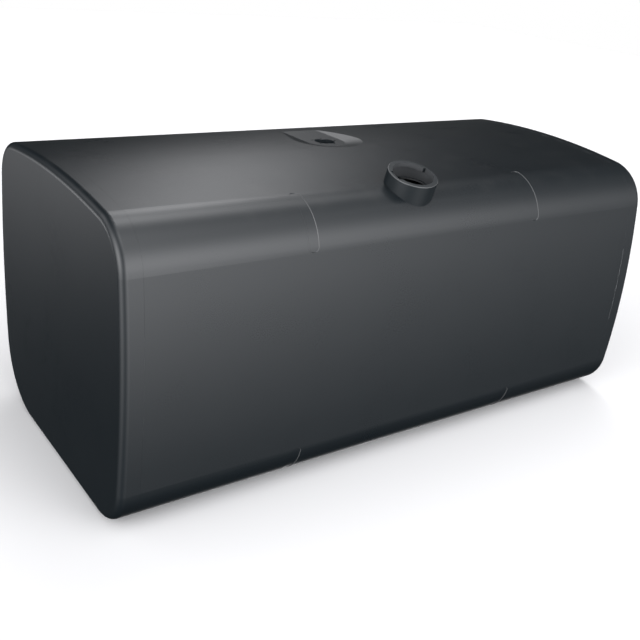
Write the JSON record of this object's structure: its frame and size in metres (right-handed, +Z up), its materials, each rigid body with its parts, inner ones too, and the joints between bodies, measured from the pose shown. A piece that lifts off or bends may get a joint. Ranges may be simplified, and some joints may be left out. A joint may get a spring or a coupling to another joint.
{
  "type": "fresh water tank",
  "caption": "Long welded water tank with crowned sides, pressed ends, an open bayonet filler neck, a dished round port, strap grooves and end fittings.",
  "frame": {"origin": "on the flat bottom face, half way along the tank and half way through its depth", "axes": "+X along the tank towards the end with the hose fittings, -Y the front (the side of the filler neck), +Z up"},
  "size_m": [1.329, 0.6189, 0.595],
  "materials": {
    "shell": "satin black powder coat over welded aluminium sheet",
    "neck": "satin black powder coat, turned",
    "plate": "mill-finish sheet",
    "pipe": "drawn tube",
    "spud": "satin black powder coat, turned weld boss",
    "tail": "machined, lead-free",
    "plug": "stainless hexagon plug",
    "mesh": "stainless, punched",
    "seal": "matt black EPDM"
  },
  "bodies": {
    "tank": {"barrel_shell": "shell", "end_cap_left": "shell", "end_cap_right": "shell", "seam_ring_left": "plate", "seam_ring_right": "plate", "baffle_left": "plate", "baffle_right": "plate", "filler_neck": "neck", "port_ring": "plate", "outlet_spud": "spud", "outlet_seal": "seal", "outlet_tail": "tail", "pickup_tube": "pipe", "pickup_strainer": "mesh", "pickup_bracket": "plate", "vent_spud": "spud", "vent_seal": "seal", "vent_tail": "tail", "vent_screen": "mesh", "vent_riser": "pipe", "drain_spud": "spud"},
    "drain_washer": {"drain_seal": "seal"},
    "drain_plug": {"drain_plug": "plug"}
  },
  "joints": [
    {"name": "drain_travel", "type": "slide", "parent": "tank", "child": "drain_washer", "axis": [1, 0, 0], "range_m": [0, 0.01451]},
    {"name": "drain_turn", "type": "hinge", "parent": "drain_washer", "child": "drain_plug", "pos_m": [0.642, 0, 0.042], "axis": [1, 0, 0], "range_deg": [0, 2880]}
  ],
  "couplings": [
    {"joint": "drain_turn", "follows": "drain_travel", "rad_per_m": 3463.7}
  ]
}
